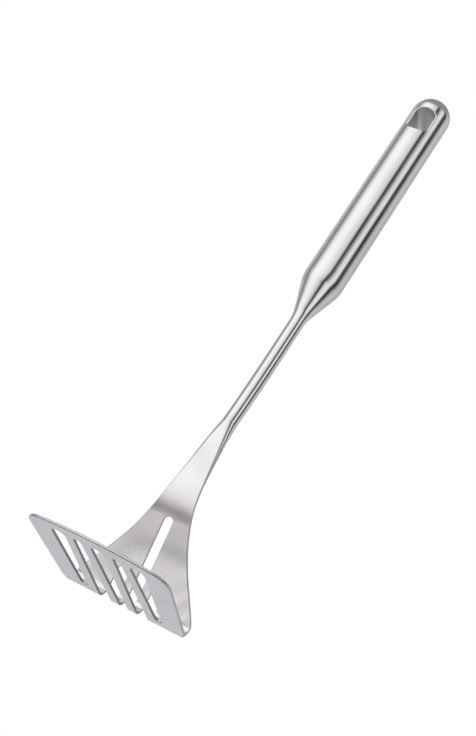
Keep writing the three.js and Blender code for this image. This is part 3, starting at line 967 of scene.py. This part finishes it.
# ---- studio ----------------------------------------------------------------------------------
# What the steel mirrors above the horizon: (degrees round from the front, brightness). Two dark
# screens stand to the right, a bright softbox to the left and a dim panel behind the softbox.
# The front is the camera's side.
STUDIO_ROUND = [
    (-180, 0.50), (-140, 0.62), (-116, 0.34), (-110, 0.27), (-104, 0.34), (-92, 0.68), (-80, 1.06),
    (-68, 1.25), (-44, 1.22), (-28, 1.06), (-4, 0.82), (0, 0.62), (4, 0.22), (8, 0.05), (13, 0.05),
    (20, 0.24), (32, 0.76), (40, 0.95), (49, 0.98), (55, 0.52), (62, 0.05), (71, 0.03), (78, 0.16),
    (92, 0.60), (104, 0.68), (130, 0.54), (180, 0.50),
]
# Below the horizon: (degrees above the horizon, brightness) at the front, then at the back, then
# (degrees round, share of that brightness) where the dark screens reach down.
STUDIO_BELOW = [
    (-90, 0.16), (-50, 0.13), (-43, 0.7), (-36, 1.6), (-27, 1.8), (-24, 0.5), (-22, 0.05),
    (-14, 0.05), (-10.5, 0.5), (-8, 1.0), (0, 1.15),
]
BEHIND_BELOW = [(-90, 0.16), (-46, 0.13), (-38, 0.5), (-31, 0.74), (-8, 0.66), (0, 0.6)]
SCREENS_BELOW = [
    (-180, 1), (-135, 1), (-118, 0.1), (-102, 0.1), (-90, 1), (-30, 1), (-8, 0.65), (5, 0.1),
    (14, 0.05), (25, 1), (49, 1), (59, 0.05), (71, 0.05), (84, 1), (180, 1),
]
STUDIO_TOP = (0.32, 0.32, 0.32, 1)
HIGH_TINT = (1.0, 0.995, 1.01, 1)
FRONT_TINT = (1.03, 0.985, 0.985, 1)
BACK_TINT = (0.99, 1.0, 1.055, 1)
# The screens lean: towards their feet they stand up to this many degrees further round.
SCREENS_SLANT = 11.0
SLANT_START, SLANT_END = 32, -8            # degrees above the horizon
SLANT_LEFT, SLANT_RIGHT = (-80, -20), (140, 90)    # degrees round where the lean sets in
# Fades, in degrees above the horizon.
HORIZON_FADE = (-9, 4)
TOP_FADE = (43, 62)
HIGH_TINT_FADE = (-10, 10)
# Fades from the back (-1) to the front (1).
FRONT_FADE = (-0.5, 0.1)
FRONT_TINT_FADE = (-0.4, 0.4)
WHITE = (1.0, 1.0, 1.0, 1.0)


def ramp(tree, value, stops, low, high):
    """Brightness read from stops; value runs from low to high."""
    share = remap(tree, value, low, high, 0, 1)
    node = add_node(tree, "ShaderNodeValToRGB")
    elements = node.color_ramp.elements
    elements.remove(elements[1])
    for k, (place, bright) in enumerate(stops):
        element = elements[0] if k == 0 else elements.new((place - low) / (high - low))
        element.position = (place - low) / (high - low)
        element.color = (bright, bright, bright, 1)
    tree.links.new(share, node.inputs[0])
    return node.outputs[0]


def fade(tree, value, ends):
    """Runs smoothly from 0 at the first end to 1 at the second."""
    start, end = ends
    node = add_node(tree, "ShaderNodeMapRange", interpolation_type="SMOOTHSTEP")
    node.inputs["From Min"].default_value = start
    node.inputs["From Max"].default_value = end
    tree.links.new(value, node.inputs["Value"])
    return node.outputs[0]


def mix(tree, factor, first, second, blend="MIX"):
    """Mixes two colours, each a socket or a fixed colour."""
    node = add_node(tree, "ShaderNodeMix", data_type="RGBA", blend_type=blend)
    for name, value in (("Factor", factor), ("A", first), ("B", second)):
        matching = [i for i in node.inputs if i.name == name and i.enabled]
        if isinstance(value, (tuple, float)):
            matching[0].default_value = value
        else:
            tree.links.new(value, matching[0])
    return [o for o in node.outputs if o.enabled][0]


def make_world():
    """White to the eye and as light, and the studio above for what the steel mirrors."""
    world = bpy.data.worlds.new("studio")
    bpy.context.scene.world = world
    world.use_nodes = True
    tree = world.node_tree
    tree.nodes.clear()
    place = add_node(tree, "ShaderNodeTexCoord").outputs["Generated"]
    towards = Vector((math.sin(VIEW_AZIMUTH), -math.cos(VIEW_AZIMUTH), 0))
    sideways = Vector((math.cos(VIEW_AZIMUTH), math.sin(VIEW_AZIMUTH), 0))
    parts = []
    for direction in (sideways, towards):
        dot = add_node(tree, "ShaderNodeVectorMath", operation="DOT_PRODUCT")
        tree.links.new(place, dot.inputs[0])
        dot.inputs[1].default_value = direction
        parts.append(dot.outputs["Value"])
    rightness, frontness = parts
    angle = combine(tree, "ARCTAN2", rightness, frontness)
    degrees_round = combine(tree, "MULTIPLY", angle, math.degrees(1))
    split = add_node(tree, "ShaderNodeSeparateXYZ")
    tree.links.new(place, split.inputs[0])
    rise = combine(tree, "ARCSINE", split.outputs["Z"], 0.0)
    degrees_up = combine(tree, "MULTIPLY", rise, math.degrees(1))

    slant = remap(tree, degrees_up, SLANT_START, SLANT_END, 0, SCREENS_SLANT)
    slant = combine(tree, "MULTIPLY", slant, fade(tree, degrees_round, SLANT_LEFT))
    slant = combine(tree, "MULTIPLY", slant, fade(tree, degrees_round, SLANT_RIGHT))
    degrees_round = combine(tree, "ADD", degrees_round, slant)
    around = ramp(tree, degrees_round, STUDIO_ROUND, -180, 180)
    below = ramp(tree, degrees_up, STUDIO_BELOW, -90, 90)
    behind = ramp(tree, degrees_up, BEHIND_BELOW, -90, 90)
    below = mix(tree, fade(tree, frontness, FRONT_FADE), behind, below)
    screens = ramp(tree, degrees_round, SCREENS_BELOW, -180, 180)
    below = mix(tree, 1.0, below, screens, "MULTIPLY")
    studio = mix(tree, fade(tree, degrees_up, HORIZON_FADE), below, around)
    studio = mix(tree, fade(tree, degrees_up, TOP_FADE), studio, STUDIO_TOP)
    tint = mix(tree, fade(tree, frontness, FRONT_TINT_FADE), BACK_TINT, FRONT_TINT)
    tint = mix(tree, fade(tree, degrees_up, HIGH_TINT_FADE), tint, HIGH_TINT)
    studio = mix(tree, 1.0, studio, tint, "MULTIPLY")

    path = add_node(tree, "ShaderNodeLightPath")
    shown = mix(tree, path.outputs["Is Glossy Ray"], WHITE, studio)
    background = add_node(tree, "ShaderNodeBackground")
    tree.links.new(shown, background.inputs["Color"])
    output = add_node(tree, "ShaderNodeOutputWorld")
    tree.links.new(background.outputs[0], output.inputs["Surface"])


# ---- the scene -------------------------------------------------------------------------------
make_camera()
handle_steel = steel("handle_steel", HANDLE_FINISH)
handle_tube(handle_steel)
end_cap(handle_steel)
eye_liner(steel("liner_steel", LINER_FINISH))
shank_rod(steel("shank_steel", SHANK_FINISH))
masher_blade(steel("sheet_steel", SHEET_FINISH, flat=True))
make_floor()
make_world()
bpy.context.scene.view_settings.view_transform = "Standard"
